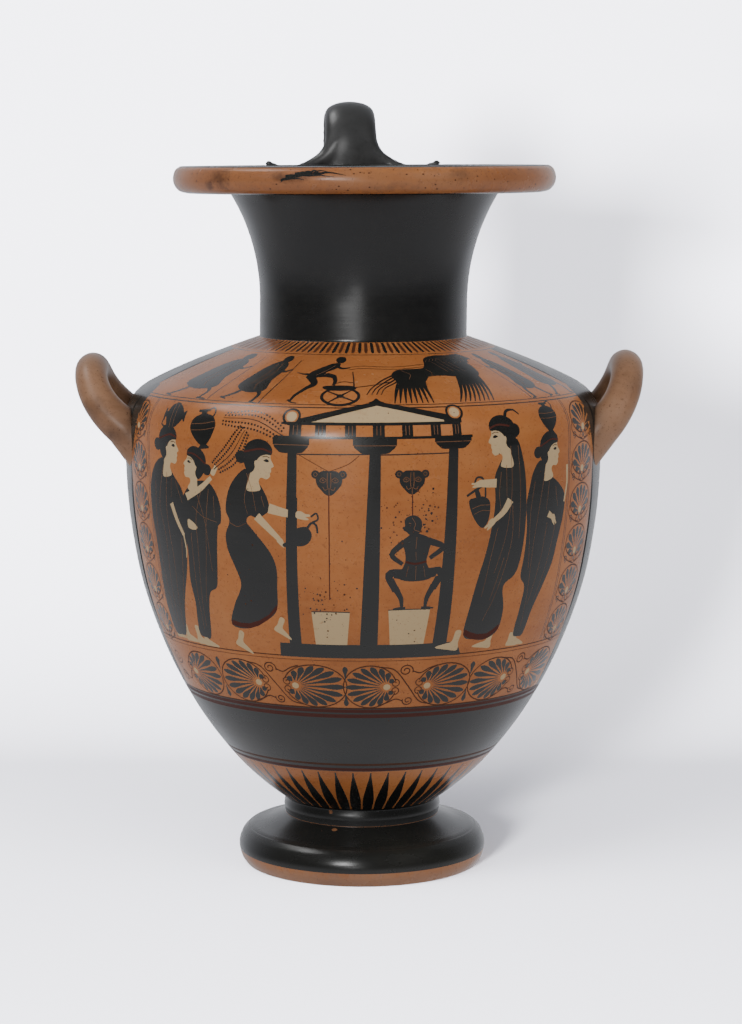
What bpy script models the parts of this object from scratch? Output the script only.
"""Hydria: a painted water jar with two side handles and a tall back handle, one fired piece."""

import math

import bmesh
import bpy
from mathutils import Matrix, Vector

# Driving dimensions, in metres
LIP_TOP = 0.475
LIP_RADIUS = 0.1283
LIP_THICKNESS = 0.018
LIP_FLAT_INSET = 0.005
MOUTH_CHAMFER = 0.003

NECK_RADIUS = 0.0699
NECK_BASE = 0.361
NECK_STRAIGHT = 0.024
NECK_FLARE_ARC = 0.138

BODY_RADIUS = 0.1612
BODY_HEIGHT = 0.300

FILLET_RADIUS = 0.0525
FILLET_TOP = 0.0453
FILLET_SWELL = 0.001

FOOT_RADIUS = 0.0845
FOOT_HEIGHT = 0.0342
FOOT_RIDGE_RADIUS = 0.0778
FOOT_RIDGE_HEIGHT = 0.0250
FOOT_STAND_RADIUS = 0.0798
STANDING_RING_WIDTH = 0.017
FOOT_RECESS_HEIGHT = 0.0315

WALL = 0.0062
FLOOR = 0.009

SIDE_HANDLE_THICKNESS = 0.0216
SIDE_HANDLE_ROOT_SWELL = 0.21
SIDE_HANDLE_SPREAD = 0.076
SIDE_HANDLE_REACH = 0.0192
SIDE_HANDLE_ROOT_HEIGHT = 0.3020
SIDE_HANDLE_RISE = 0.0365

BACK_HANDLE_WIDTH = 0.0376
BACK_HANDLE_THICKNESS = 0.0180
BACK_HANDLE_RISE = 0.0447
BACK_HANDLE_GAP = 0.0118
BACK_HANDLE_FOOT_SHARE = 0.895
BACK_HANDLE_FOOT_SWELL = 0.18
BACK_HANDLE_TURN = math.radians(3.9)
BACK_ARM_THICKNESS = 0.0072
BACK_ARM_SPREAD = 0.118

TURNING_STEPS = 56

CLAY_BLACK = (0.012, 0.012, 0.013, 1.0)


def clear_scene():
    """Remove whatever the file holds, so that the model starts from nothing."""
    for thing in list(bpy.data.objects):
        bpy.data.objects.remove(thing, do_unlink=True)


def make_collection(name):
    collection = bpy.data.collections.new(name)
    bpy.context.scene.collection.children.link(collection)
    return collection


def make_material(name, colour, roughness):
    material = bpy.data.materials.new(name)
    material.use_nodes = True
    shader = material.node_tree.nodes["Principled BSDF"]
    shader.inputs["Base Color"].default_value = colour
    shader.inputs["Roughness"].default_value = roughness
    shader.inputs["Metallic"].default_value = 0.0
    return material


def smooth_through(points, per_span):
    """Points along one smooth curve through the given ones, per_span to each span."""
    knots = [Vector(p) for p in points]
    knots = [2 * knots[0] - knots[1]] + knots + [2 * knots[-1] - knots[-2]]
    curve = []
    for a, b, c, d in zip(knots, knots[1:], knots[2:], knots[3:]):
        for step in range(per_span):
            t = step / per_span
            bend = 2 * b + (c - a) * t
            bend += (2 * a - 5 * b + 4 * c - d) * t ** 2
            bend += (3 * b - a - 3 * c + d) * t ** 3
            curve.append(bend / 2)
    curve.append(knots[-2])
    return curve


def shares_between(start, end, shares, per_span):
    """A smooth curve from start to end; each share is how far it has come in radius and height."""
    knots = []
    for across, down in shares:
        radius = start[0] + (end[0] - start[0]) * across
        height = start[1] + (end[1] - start[1]) * down
        knots.append((radius, height))
    return smooth_through(knots, per_span)


def neck_radius_at(height):
    """The neck is straight above its base, then flares along an arc up to the lip."""
    above = max(0.0, height - NECK_BASE - NECK_STRAIGHT)
    return NECK_RADIUS + NECK_FLARE_ARC - math.sqrt(NECK_FLARE_ARC ** 2 - above ** 2)


def lip_outline():
    """Rounded lip from the mouth's inner edge over the rim to its underside."""
    bottom = LIP_TOP - LIP_THICKNESS
    middle = LIP_TOP - 0.45 * LIP_THICKNESS
    flat_end = LIP_RADIUS - LIP_FLAT_INSET
    return [
        Vector((flat_end, LIP_TOP)),
        Vector((LIP_RADIUS - 0.32 * LIP_FLAT_INSET, LIP_TOP - 0.14 * LIP_THICKNESS)),
        Vector((LIP_RADIUS, middle)),
        Vector((LIP_RADIUS - 0.22 * LIP_FLAT_INSET, bottom + 0.28 * LIP_THICKNESS)),
        Vector((LIP_RADIUS - 0.85 * LIP_FLAT_INSET, bottom + 0.08 * LIP_THICKNESS)),
        Vector((LIP_RADIUS - 1.75 * LIP_FLAT_INSET, bottom)),
    ]


def neck_outline():
    """Outer side of the neck, from under the lip down to the shoulder."""
    top = LIP_TOP - LIP_THICKNESS
    bend = NECK_BASE + NECK_STRAIGHT
    arc_steps = 6
    heights = [top + (bend - top) * step / arc_steps for step in range(arc_steps + 1)]
    heights.append(NECK_BASE)
    return [Vector((neck_radius_at(height), height)) for height in heights]


def shoulder_outline(per_span):
    """Sloping shoulder that turns over into the body's widest girth."""
    shares = (
        (0.0, 0.0), (0.262, 0.140), (0.521, 0.292), (0.748, 0.445),
        (0.880, 0.560), (0.955, 0.690), (0.992, 0.840), (1.0, 1.0),
    )
    return shares_between((NECK_RADIUS, NECK_BASE), (BODY_RADIUS, BODY_HEIGHT), shares, per_span)


def belly_outline(per_span):
    """Ovoid belly from the widest girth down to the fillet above the foot."""
    shares = (
        (0.0, 0.0), (0.013, 0.158), (0.044, 0.279), (0.099, 0.401), (0.192, 0.524),
        (0.317, 0.647), (0.482, 0.769), (0.680, 0.879), (0.848, 0.949), (1.0, 1.0),
    )
    return shares_between((BODY_RADIUS, BODY_HEIGHT), (FILLET_RADIUS, FILLET_TOP), shares, per_span)


def foot_outline():
    """Fillet ring, the foot's sloping top, its ridge and its rounded edge."""
    edge_drop = FOOT_RIDGE_HEIGHT
    bulge = FOOT_RADIUS - FOOT_RIDGE_RADIUS
    fillet_middle = (FILLET_TOP + FOOT_HEIGHT) / 2
    top_middle = (
        FILLET_RADIUS + 0.52 * (FOOT_RIDGE_RADIUS - FILLET_RADIUS),
        FOOT_RIDGE_HEIGHT + 0.33 * (FOOT_HEIGHT - FOOT_RIDGE_HEIGHT),
    )
    return [
        Vector((FILLET_RADIUS + FILLET_SWELL, fillet_middle)),
        Vector((FILLET_RADIUS, FOOT_HEIGHT)),
        Vector(top_middle),
        Vector((FOOT_RIDGE_RADIUS, FOOT_RIDGE_HEIGHT)),
        Vector((FOOT_RIDGE_RADIUS + 0.62 * bulge, 0.83 * edge_drop)),
        Vector((FOOT_RADIUS, 0.54 * edge_drop)),
        Vector((FOOT_STAND_RADIUS + 0.72 * (FOOT_RADIUS - FOOT_STAND_RADIUS), 0.21 * edge_drop)),
        Vector((FOOT_STAND_RADIUS, 0.0)),
    ]


def underside_outline():
    """Flat standing ring and the hollow beneath the foot, up to the axis."""
    inner = FOOT_STAND_RADIUS - STANDING_RING_WIDTH
    shares = ((0.92, 0.16), (0.79, 0.42), (0.58, 0.76), (0.32, 0.94), (0.0, 1.0))
    hollow = [Vector((inner * across, FOOT_RECESS_HEIGHT * up)) for across, up in shares]
    return [Vector((inner, 0.0))] + hollow


def outer_outline():
    """The whole outer side, from the axis at the lip's top, down and under to the axis."""
    outline = [Vector((0.0, LIP_TOP))]
    outline += lip_outline()
    outline += neck_outline()[:-1]
    outline += shoulder_outline(1)
    outline += belly_outline(1)[1:]
    outline += foot_outline()
    outline += underside_outline()
    return outline


def inset(outline, distance):
    """The outline moved inwards by distance, square to itself; it runs downwards."""
    moved = []
    for index, point in enumerate(outline):
        before = outline[max(index - 1, 0)]
        after = outline[min(index + 1, len(outline) - 1)]
        along = (after - before).normalized()
        moved.append(point + distance * Vector((along.y, -along.x)))
    return moved


def cavity_outline():
    """The hollow inside, from above the mouth down to the middle of the floor."""
    clear_above = LIP_TOP + 2 * BACK_HANDLE_RISE
    bend = NECK_BASE + NECK_STRAIGHT
    arc = NECK_FLARE_ARC + WALL
    centre = NECK_RADIUS + NECK_FLARE_ARC
    throat = []
    arc_steps = 4
    arc_top = LIP_TOP - MOUTH_CHAMFER
    for step in range(arc_steps + 1):
        height = arc_top + (bend - arc_top) * step / arc_steps
        throat.append(Vector((centre - math.sqrt(arc ** 2 - (height - bend) ** 2), height)))
    mouth_radius = throat[0].x + 1.5 * MOUTH_CHAMFER
    shoulder = inset(shoulder_outline(1), WALL)[1:]
    belly = inset(belly_outline(1), WALL)[1:]
    floor_top = FOOT_RECESS_HEIGHT + FLOOR
    last = belly[-1]
    floor = [
        Vector((0.78 * last.x, floor_top + 0.38 * (last.y - floor_top))),
        Vector((0.42 * last.x, floor_top + 0.06 * (last.y - floor_top))),
        Vector((0.0, floor_top)),
    ]
    under_neck = Vector((NECK_RADIUS - WALL, NECK_BASE - 0.3 * WALL))
    outline = [Vector((0.0, clear_above)), Vector((mouth_radius, clear_above))]
    outline.append(Vector((mouth_radius, LIP_TOP)))
    return outline + throat + [under_neck] + shoulder + belly + floor


def turned_solid(name, outline, collection):
    """Turn an outline of radius and height about the upright axis."""
    mesh = bpy.data.meshes.new(name)
    vertices = [(point.x, 0.0, point.y) for point in outline]
    edges = [(index, index + 1) for index in range(len(vertices) - 1)]
    mesh.from_pydata(vertices, edges, [])
    thing = bpy.data.objects.new(name, mesh)
    collection.objects.link(thing)
    screw = thing.modifiers.new("Turning", "SCREW")
    screw.axis = "Z"
    screw.steps = TURNING_STEPS
    screw.render_steps = TURNING_STEPS
    screw.use_merge_vertices = True
    screw.merge_threshold = 0.00001
    return thing


def rod(name, centres, radii, sides, stretch, collection):
    """A round rod along the centres, widened across X by stretch, as a closed mesh object."""
    curve = bpy.data.curves.new(name, "CURVE")
    curve.dimensions = "3D"
    curve.bevel_depth = 1.0
    curve.bevel_resolution = (sides - 4) // 2
    curve.use_fill_caps = True
    curve.twist_mode = "MINIMUM"
    spline = curve.splines.new("POLY")
    spline.points.add(len(centres) - 1)
    for point, centre, radius in zip(spline.points, centres, radii):
        point.co = (centre[0] / stretch, centre[1], centre[2], 1.0)
        point.radius = radius
    path = bpy.data.objects.new(name + "_path", curve)
    collection.objects.link(path)
    path.scale = (stretch, 1.0, 1.0)
    bpy.context.view_layer.update()
    evaluated = path.evaluated_get(bpy.context.evaluated_depsgraph_get())
    mesh = bpy.data.meshes.new_from_object(evaluated)
    form = bmesh.new()
    form.from_mesh(mesh)
    bmesh.ops.remove_doubles(form, verts=form.verts, dist=0.00001)
    bmesh.ops.recalc_face_normals(form, faces=form.faces)
    form.to_mesh(mesh)
    form.free()
    thing = bpy.data.objects.new(name, mesh)
    thing.matrix_world = path.matrix_world
    collection.objects.link(thing)
    bpy.data.objects.remove(path, do_unlink=True)
    return thing


def body_radius_at(height):
    """Outer radius of the jar at a height between the fillet and the neck."""
    outline = shoulder_outline(4) + belly_outline(4)[1:]
    for upper, lower in zip(outline, outline[1:]):
        if lower.y <= height <= upper.y:
            share = (upper.y - height) / max(upper.y - lower.y, 1e-9)
            return upper.x + (lower.x - upper.x) * share
    return BODY_RADIUS


def shoulder_height_at(radius):
    """Height of the shoulder's surface at a radius between the neck and the girth."""
    outline = shoulder_outline(4)
    for upper, lower in zip(outline, outline[1:]):
        if upper.x <= radius <= lower.x:
            share = (radius - upper.x) / max(lower.x - upper.x, 1e-9)
            return upper.y + (lower.y - upper.y) * share
    return BODY_HEIGHT


def side_handle_centres():
    """Centres of the loop at +X: out of the wall, up at a slant, round and back."""
    half = SIDE_HANDLE_SPREAD / 2
    surface = body_radius_at(SIDE_HANDLE_ROOT_HEIGHT)
    root = math.sqrt(surface ** 2 - (0.8 * half) ** 2)
    buried = 1.25 * SIDE_HANDLE_THICKNESS
    centres = []
    spans = 14
    for step in range(spans + 1):
        angle = math.pi * step / spans
        out = max(0.0, math.sin(angle)) ** 1.2
        side = -half * math.copysign(abs(math.cos(angle)) ** 0.8, math.cos(angle))
        reach = root + (SIDE_HANDLE_REACH + surface - root) * (1.76 * out - 0.76 * out ** 2)
        height = SIDE_HANDLE_ROOT_HEIGHT + SIDE_HANDLE_RISE * (0.9 * out + 0.1 * out ** 2)
        centres.append(Vector((reach, side, height)))
    inwards = Vector((-0.60 * buried, 0.0, -0.80 * buried))
    return [centres[0] + inwards] + centres + [centres[-1] + inwards]


def make_side_handles(collection):
    """The two loops for lifting, one at +X and its mirror image at -X."""
    centres = side_handle_centres()
    top = SIDE_HANDLE_ROOT_HEIGHT + SIDE_HANDLE_RISE
    radii = []
    for point in centres:
        near_root = min(1.0, (top - point.z) / SIDE_HANDLE_RISE)
        swell = 1.0 + SIDE_HANDLE_ROOT_SWELL * near_root ** 2
        radii.append(SIDE_HANDLE_THICKNESS / 2 * swell)
    right = rod("side_handle_right", centres, radii, 12, 1.0, collection)
    mirrored = [Vector((-point.x, point.y, point.z)) for point in centres]
    left = rod("side_handle_left", mirrored, radii, 12, 1.0, collection)
    return [right, left]


def back_handle_centres():
    """Centres of the strap: up from the lip, over in an arch and down to the shoulder."""
    half = BACK_HANDLE_THICKNESS / 2
    top = LIP_TOP + BACK_HANDLE_RISE - half
    front = LIP_RADIUS - LIP_FLAT_INSET - 1.05 * half
    back = LIP_RADIUS + BACK_HANDLE_GAP + half
    rise = top - LIP_TOP
    foot_radius = BACK_HANDLE_FOOT_SHARE * BODY_RADIUS
    foot_height = shoulder_height_at(foot_radius)
    fall = LIP_TOP - foot_height
    knots = [
        (0.0, front + 0.2 * half, LIP_TOP - 0.5 * LIP_THICKNESS),
        (0.0, front, LIP_TOP + 0.42 * rise),
        (0.0, front + 0.16 * (back - front), LIP_TOP + 0.84 * rise),
        (0.0, front + 0.50 * (back - front), top),
        (0.0, front + 0.86 * (back - front), LIP_TOP + 0.62 * rise),
        (0.0, back, LIP_TOP - 0.06 * fall),
        (0.0, back - 0.02 * BODY_RADIUS, LIP_TOP - 0.50 * fall),
        (0.0, foot_radius + 0.03 * BODY_RADIUS, foot_height + 0.14 * fall),
        (0.0, foot_radius - 0.01 * BODY_RADIUS, foot_height - 1.2 * WALL),
    ]
    return smooth_through(knots, 2)


def back_arm_centres(side):
    """Centres of one arm: off the strap, down on to the lip and round it to an upturned tip."""
    ring = LIP_RADIUS - LIP_FLAT_INSET - 0.53 * BACK_HANDLE_THICKNESS
    half = BACK_HANDLE_WIDTH / 2
    reach = BACK_ARM_SPREAD / 2
    thick = BACK_ARM_THICKNESS
    offsets = (
        (0.15 * half, 0.56 * BACK_HANDLE_RISE), (0.60 * half, 0.34 * BACK_HANDLE_RISE),
        (0.94 * half, 0.14 * BACK_HANDLE_RISE), (0.44 * reach, 0.015 * BACK_HANDLE_RISE),
        (0.60 * reach, -0.30 * thick), (0.80 * reach, -0.34 * thick),
        (0.94 * reach, -0.05 * thick), (reach, 0.45 * thick),
    )
    centres = []
    for across, up in offsets:
        centres.append(Vector((side * across, math.sqrt(ring ** 2 - across ** 2), LIP_TOP + up)))
    return centres


def make_back_handle(collection):
    """The pouring handle with its two arms on the lip, set a little off the true back."""
    width = BACK_HANDLE_WIDTH / BACK_HANDLE_THICKNESS
    half = BACK_HANDLE_THICKNESS / 2
    centres = back_handle_centres()
    foot_height = shoulder_height_at(BACK_HANDLE_FOOT_SHARE * BODY_RADIUS)
    swell_height = 0.34 * (LIP_TOP - foot_height)
    radii = []
    for point in centres:
        near_shoulder = max(0.0, 1.0 - (point.z - foot_height) / swell_height)
        radii.append(half * (1.0 + BACK_HANDLE_FOOT_SWELL * min(near_shoulder, 1.0)))
    pieces = [rod("back_handle", centres, radii, 12, width, collection)]
    shares = (1.6, 1.65, 1.5, 1.2, 0.95, 0.8, 0.62, 0.22)
    arm_radii = [BACK_ARM_THICKNESS / 2 * share for share in shares]
    for side, name in ((1, "arm_right"), (-1, "arm_left")):
        pieces.append(rod(name, back_arm_centres(side), arm_radii, 10, 1.0, collection))
    turn = Matrix.Rotation(BACK_HANDLE_TURN, 4, "Z")
    for piece in pieces:
        piece.matrix_world = turn @ piece.matrix_world
    return pieces


def combine(target, other, operation):
    """Join another solid to the target, or cut it away, and hide the other."""
    boolean = target.modifiers.new(other.name, "BOOLEAN")
    boolean.operation = operation
    boolean.solver = "EXACT"
    boolean.object = other
    other.hide_render = True
    other.display_type = "WIRE"


def make_hydria():
    """Turn the jar, join its handles, then hollow it in one go."""
    parts = make_collection("Hydria")
    tools = make_collection("Cutters")
    jar = turned_solid("hydria", outer_outline(), parts)
    for handle in make_side_handles(tools) + make_back_handle(tools):
        combine(jar, handle, "UNION")
    cavity = turned_solid("cavity", cavity_outline(), tools)
    combine(jar, cavity, "DIFFERENCE")
    jar.data.materials.append(make_material("black_gloss", CLAY_BLACK, 0.28))
    return jar


clear_scene()
make_hydria()
